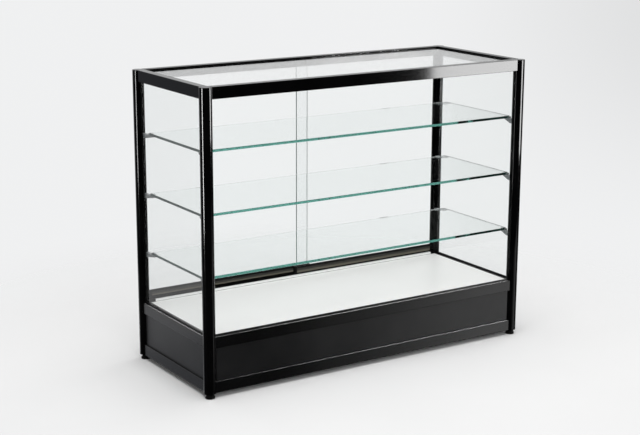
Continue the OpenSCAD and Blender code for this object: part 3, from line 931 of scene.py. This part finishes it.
@dataclass
class SlidingDoor:
    """One glass door with its shoe, end caps, axles and wheels."""

    hand: Hand
    corner_r: float = 2.0 * MM
    arris: float = 0.5 * MM

    def build(self) -> None:
        """Works out the pane and dresses what carries it."""
        door = f"{self.hand.value}_door"
        low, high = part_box(f"{door}_glass")
        plate = GlassPlate(low, high, thin_axis=Axis.Y, corner_r=self.corner_r, arris=self.arris)
        # the rear door gets the edge painted lighter and the shoe whose painted shade reaches higher
        edge, shoe = (REAR_DOOR_EDGE_PAINTED_LIGHT, REAR_BRONZE_PAINTED_LIGHT_AND_SHADE) if self.hand is Hand.LEFT else (DOOR_EDGE, BRONZE_PAINTED_LIGHT_AND_SHADE)
        add_piece(f"{door}_pane", plate.surface(), [DOOR_PANE, edge, edge], door,
                  [f"{door}_glass"])
        dress([f"{door}_shoe"], shoe)
        dress([f"{door}_shoe_caps"], BLACK_PLASTIC)
        dress([f"{door}_axles"], PLATED_STEEL)
        dress([f"{door}_wheel_a", f"{door}_wheel_b"], WHITE_NYLON)


@dataclass
class Feet:
    """The four levelling feet: a moulded pad on a threaded stud.

    The stud starts a little below the pad's top, and a cone takes its point in at the top.
    Angles are in degrees.
    """

    rim_h: float = 5.5 * MM
    rim_turn: float = 60.0
    flare_h: float = 3.5 * MM
    flare_rings: int = 10
    neck_r: float = 12.0 * MM
    pad_h: float = 14.0 * MM
    edge_r: float = 1.0 * MM
    pad_smooth: float = 40.0
    stud_r: float = 5.0 * MM
    stud_sunk: float = 2.0 * MM
    stud_point: float = 0.3 * MM
    stud_segments: int = 48
    stud_smooth: float = 50.0
    thread_pitch: float = 1.5 * MM
    thread_depth: float = 0.8 * MM
    rows_per_turn: int = 10

    def build(self) -> None:
        """Works out pad and stud for each corner."""
        for corner in Corner:
            node = f"foot_{corner.label}"
            low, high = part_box(node)
            middle = ((low.x + high.x) / 2.0, (low.y + high.y) / 2.0, low.z)
            pad = self.pad((high.x - low.x) / 2.0).moved(middle)
            stud = self.stud(high.z - low.z).moved(middle)
            add_piece(f"foot_pad_{corner.label}", pad, [BLACK_PLASTIC], node, [node],
                      smooth=self.pad_smooth)
            add_piece(f"foot_stud_{corner.label}", stud, [PLATED_STEEL], node,
                      smooth=self.stud_smooth)

    def pad(self, rim_r: float) -> Surface:
        """Turns a pad: rounded rim, flare, neck and rounded shoulder.

        The flare runs from rim to neck on a half wave of a cosine.

        Args:
            rim_r: radius of the rim.

        Returns:
            The pad, about the Z axis.
        """
        e = self.edge_r
        foot = arc((rim_r - e, e), e, -90.0, 0.0)
        rim = arc((rim_r - e, self.rim_h - e), e, 0.0, self.rim_turn)
        flare_r, flare_z = rim[-1]
        t = np.linspace(0.0, 1.0, self.flare_rings)[1:]
        wave = (1.0 - np.cos(math.pi * t)) / 2.0
        flare = np.stack([flare_r + (self.neck_r - flare_r) * wave, flare_z + self.flare_h * t], axis=1)
        shoulder = arc((self.neck_r - e, self.pad_h - e), e, 0.0, 90.0)
        profile = np.concatenate([foot, rim, flare, shoulder])
        return turned_surface(profile[:, 0], profile[:, 1])

    def stud(self, top: float) -> Surface:
        """Works out a stud with a single-start thread.

        The radius at height z and angle a is the stud's, less the thread's depth times a
        triangle wave of z / pitch - a / 2 pi, and a cone points the top.

        Args:
            top: height of the stud's top above the floor.

        Returns:
            The stud, about the Z axis.
        """
        low = self.pad_h - self.stud_sunk
        rows = int((top - low) / self.thread_pitch * self.rows_per_turn) + 1
        segments = self.stud_segments
        z = np.linspace(low, top, rows)
        turns = z[:, None] / self.thread_pitch - np.arange(segments)[None, :] / segments
        wave = np.abs(2.0 * (turns - np.floor(turns)) - 1.0)
        radius = self.stud_r - self.thread_depth * wave
        point = self.stud_r - self.thread_depth - self.stud_point + (top - z)
        return turned_surface(np.minimum(radius, point[:, None]), z, segments)


@dataclass(frozen=True)
class Softbox:
    """A rectangular lamp that faces a point.

    It lights everything but the panes or, where only names some, just those solids.
    """

    name: str
    use: LampUse
    place: Point
    aim: Point
    width: float
    height: float
    radiance: float
    only: tuple[str, ...] = ()

    def build(self, all_but_panes: bpy.types.Collection) -> None:
        """Puts the lamp into the scene.

        Args:
            all_but_panes: what a lamp lights that isn't for some solids only.
        """
        light = bpy.data.lights.new(self.name, "AREA")
        light.shape = "RECTANGLE"
        light.size, light.size_y = self.width, self.height
        light.energy = WATTS_PER_RADIANCE * self.width * self.height * self.radiance
        lamp = bpy.data.objects.new(self.name, light)
        bpy.context.scene.collection.objects.link(lamp)
        place = Vector(self.place)
        turn = (Vector(self.aim) - place).to_track_quat("-Z", "Y")
        lamp.matrix_world = Matrix.Translation(place) @ turn.to_matrix().to_4x4()
        lamp.visible_camera = lamp.visible_transmission = False
        lamp.visible_glossy = self.use is LampUse.SHINE
        lamp.visible_diffuse = self.use is LampUse.FILL
        lamp.light_linking.receiver_collection = self.chosen() if self.only else all_but_panes
        LOG.info("%s: %s lamp", self.name, self.use.value)

    def chosen(self) -> bpy.types.Collection:
        """Collects the solids that the lamp is for.

        Returns:
            Their collection.
        """
        solids = bpy.data.collections.new(f"{self.name}_only")
        for node in self.only:
            solids.objects.link(frame["nodes"][node])
        return solids


FILLS = (
    Softbox("key_softbox", LampUse.FILL, (5.2, 1.4, 5.2), (0.0, 0.0, 0.4), 3.6, 3.6, 1.4),
    Softbox("overhead_softbox", LampUse.FILL, (-0.7, -0.9, 7.0), (0.0, 0.0, 0.0), 5.2, 5.2, 2.92),
    Softbox("front_softbox", LampUse.FILL, (-2.2, -6.6, 2.8), (0.0, 0.0, 0.2), 4.0, 4.0, 2.5),
)
RIGHT_SHINE = Softbox("right_shine", LampUse.SHINE, (1.40, -1.29, 0.90), (0.08, 0.0, 0.90), 0.60, 1.08, 32.0,
                      ("top_rail_front", "column_front_left", "column_front_right", "glazing_gaskets"))
LEFT_SHINE = Softbox("left_shine", LampUse.SHINE, (-8.0, -0.3, -0.40), (0.0, 0.0, -0.40), 1.2, 1.9, 70.0,
                     ("column_front_left",))
POST_SHINES = (
    RIGHT_SHINE,
    replace(RIGHT_SHINE, name="rear_shine", radiance=38.0, only=("top_rail_rear",)),
    LEFT_SHINE,
    replace(LEFT_SHINE, name="rear_left_shine", place=(-8.0, -0.3, -0.23), aim=(0.0, 0.0, -0.23), height=1.56,
            radiance=38.0, only=("column_rear_left",)),
    replace(LEFT_SHINE, name="left_glint", radiance=12.0, only=("column_front_right",)),
    Softbox("left_card", LampUse.SHINE, (-1.02, 1.05, -0.12), (-0.60, 0.15, 0.12), 0.60, 0.30, 0.40),
)
RAIL_SHINES = (
    Softbox("edge_shine", LampUse.SHINE, (2.6, -1.6, 3.6), (0.0, -0.2, 0.2), 1.0, 1.0, 12.0),
    Softbox("upper_rail_glint", LampUse.SHINE, (2.4, -1.6, 3.76), (-0.1, -0.2, 0.25), 2.0, 1.0, 85.0,
            ("base_upper_rail_front",)),
    Softbox("left_rail_glint", LampUse.SHINE, (-1.8, 4.05, 2.85), (-0.6, 0.0, 0.19), 1.4, 1.4, 26.0,
            ("base_upper_rail_left",)),
    Softbox("rail_glint_far", LampUse.SHINE, (2.3, -1.6, 3.6), (-0.2, -0.2, 0.1), 1.6, 1.0, 38.0,
            ("base_lower_rail_front",)),
    Softbox("rail_glint_near", LampUse.SHINE, (3.75, -1.6, 3.6), (0.4, -0.2, 0.1), 1.2, 1.0, 165.0,
            ("base_lower_rail_front",)),
    Softbox("low_card_far", LampUse.SHINE, (0.70, -1.29, -0.32), (0.70, 0.0, -0.32), 0.40, 0.70, 0.40),
    Softbox("low_card_middle", LampUse.SHINE, (1.07, -1.29, -0.32), (1.07, 0.0, -0.32), 0.34, 0.70, 1.05),
    Softbox("low_card_near", LampUse.SHINE, (1.52, -1.29, -0.32), (1.52, 0.0, -0.32), 0.56, 0.70, 1.85),
)


@dataclass
class Studio:
    """Floor, backdrop, lamps and camera.

    The spans that end in x, y or z say where along that axis of a ray's direction the
    surroundings change from one tone to the next.
    """

    floor_reach: float = 12.0
    backdrop: Tone = (0.868, 0.874, 0.880)
    backdrop_through_glass: Tone = (0.935, 0.938, 0.940)
    dull_corner: Tone = (0.73, 0.735, 0.74)
    dull_corner_x: Span = (0.58, 0.75)
    dull_corner_z: Span = (-0.26, -0.09)
    soft_light: Tone = (0.37, 0.37, 0.37)
    dark_room: Tone = (0.01, 0.01, 0.01)
    dark_room_y: Span = (0.55, 0.75)
    rear_left: Tone = (0.30, 0.31, 0.34)
    rear_left_x: Span = (-0.35, -0.05)
    upper_wall_z: Span = (0.05, 0.22)
    upper_right: Tone = (0.58, 0.60, 0.60)
    upper_right_x: Span = (0.585, 0.64)
    camera_place: Point = (-2.5224, -3.8216, 1.5485)
    yaw: float = 32.884
    pitch: float = 13.6476
    roll: float = 0.177
    focal_pixels: float = 1446.75
    image_width: float = 640.0
    sensor: float = 36.0
    lamps: tuple[Softbox, ...] = (*FILLS, *POST_SHINES, *RAIL_SHINES)
    bounces: int = 24

    def build(self) -> None:
        """Builds floor, world, lamps and camera."""
        scene = bpy.context.scene
        scene.view_settings.view_transform = "Standard"
        scene.cycles.max_bounces = self.bounces
        scene.cycles.glossy_bounces = self.bounces
        scene.cycles.transmission_bounces = self.bounces
        scene.cycles.transparent_max_bounces = 2 * self.bounces
        self.build_floor()
        self.build_world()
        all_but_panes = self.all_but_panes()
        for lamp in self.lamps:
            lamp.build(all_but_panes)
        self.build_camera()

    def build_floor(self) -> None:
        """Lays a pale floor, which glossy surfaces don't mirror."""
        r = self.floor_reach
        mesh = bpy.data.meshes.new("floor")
        mesh.from_pydata([(-r, -r, 0.0), (r, -r, 0.0), (r, r, 0.0), (-r, r, 0.0)], [], [(0, 1, 2, 3)])
        mesh.materials.append(PALE_FLOOR.material())
        floor = bpy.data.objects.new("floor", mesh)
        floor.visible_glossy = floor.visible_shadow = False
        bpy.context.scene.collection.objects.link(floor)

    def build_world(self) -> None:
        """Makes the surroundings: even soft light, a pale backdrop, and a dark room in front.

        Matt surfaces get the soft light. The camera, and what it sees through glass, gets the
        backdrop, which is duller high on the right. Glossy surfaces see the backdrop behind
        the case, the dark room in front, and pale walls above, duller far on the right. On the
        left the backdrop is duller for coated surfaces than for the sharp reflections in glass.
        """
        world = bpy.data.worlds.new("studio")
        world.use_nodes = True
        world.cycles.sampling_method = "NONE"
        bpy.context.scene.world = world
        sheet = NodeSheet(world.node_tree)
        x, y, z = sheet.add("SeparateXYZ", Vector=sheet.add("TexCoord").outputs["Generated"]).outputs
        pale = sheet.glow(self.backdrop)
        coated = sheet.either(sheet.rise(x, self.rear_left_x), sheet.glow(self.rear_left), pale)
        rear = sheet.either(sheet.ray(Ray.SHARP), coated, pale)
        level = sheet.either(sheet.rise(y, self.dark_room_y), sheet.glow(self.dark_room), rear)
        walls = sheet.either(sheet.rise(x, self.upper_right_x), pale, sheet.glow(self.upper_right))
        mirrored = sheet.either(sheet.rise(z, self.upper_wall_z), level, walls)
        last = sheet.either(sheet.ray(Ray.GLOSSY), sheet.glow(self.soft_light), mirrored)
        corner = sheet.times(sheet.rise(x, self.dull_corner_x), sheet.rise(z, self.dull_corner_z))
        dull = sheet.glow(self.dull_corner)
        for kind, seen in ((Ray.CAMERA, pale), (Ray.TRANSMISSION, sheet.glow(self.backdrop_through_glass))):
            last = sheet.either(sheet.ray(kind), last, sheet.either(corner, seen, dull))
        sheet.add("OutputWorld", Surface=last.outputs[0])

    def all_but_panes(self) -> bpy.types.Collection:
        """Collects the panes as exceptions, so that no lamp lays a glare on the glass.

        Returns:
            The collection, in which every pane is excluded.
        """
        panes = bpy.data.collections.new("panes_without_glare")
        glass = {f.name for f in (CLEAR_PANE, SIDE_PANE, DOOR_PANE, TOP_PANE, SHELF_PANE)}
        for thing in bpy.context.scene.objects:
            if any(s.material and s.material.name in glass for s in thing.material_slots):
                panes.objects.link(thing)
        for link in panes.collection_objects:
            link.light_linking.link_state = "EXCLUDE"
        return panes

    def build_camera(self) -> None:
        """Sets the camera at the picture's viewpoint, from its place, yaw, pitch and roll."""
        yaw, pitch, roll = (math.radians(a) for a in (self.yaw, self.pitch, self.roll))
        ahead = Vector((math.sin(yaw) * math.cos(pitch), math.cos(yaw) * math.cos(pitch), -math.sin(pitch)))
        right = Vector((math.cos(yaw), -math.sin(yaw), 0.0))
        up = right.cross(ahead)
        tilted_right = math.cos(roll) * right + math.sin(roll) * up
        tilted_up = -math.sin(roll) * right + math.cos(roll) * up
        turn = Matrix((tilted_right, tilted_up, -ahead)).transposed()
        data = bpy.data.cameras.new("camera")
        data.sensor_fit = "HORIZONTAL"
        data.sensor_width = self.sensor
        data.lens = self.focal_pixels * self.sensor / self.image_width
        camera = bpy.data.objects.new("camera", data)
        camera.matrix_world = Matrix.Translation(Vector(self.camera_place)) @ turn.to_4x4()
        bpy.context.scene.collection.objects.link(camera)
        bpy.context.scene.camera = camera


def main() -> None:
    """Builds the case, sub-assembly by sub-assembly, and then the studio."""
    logging.basicConfig(level=logging.INFO, format="%(message)s")
    for part in (Posts(), Rails(), Glazing(), Shelves(), DoorTrack(),
                 SlidingDoor(Hand.LEFT), SlidingDoor(Hand.RIGHT), Feet(), Studio()):
        part.build()


if __name__ == "__main__":
    main()
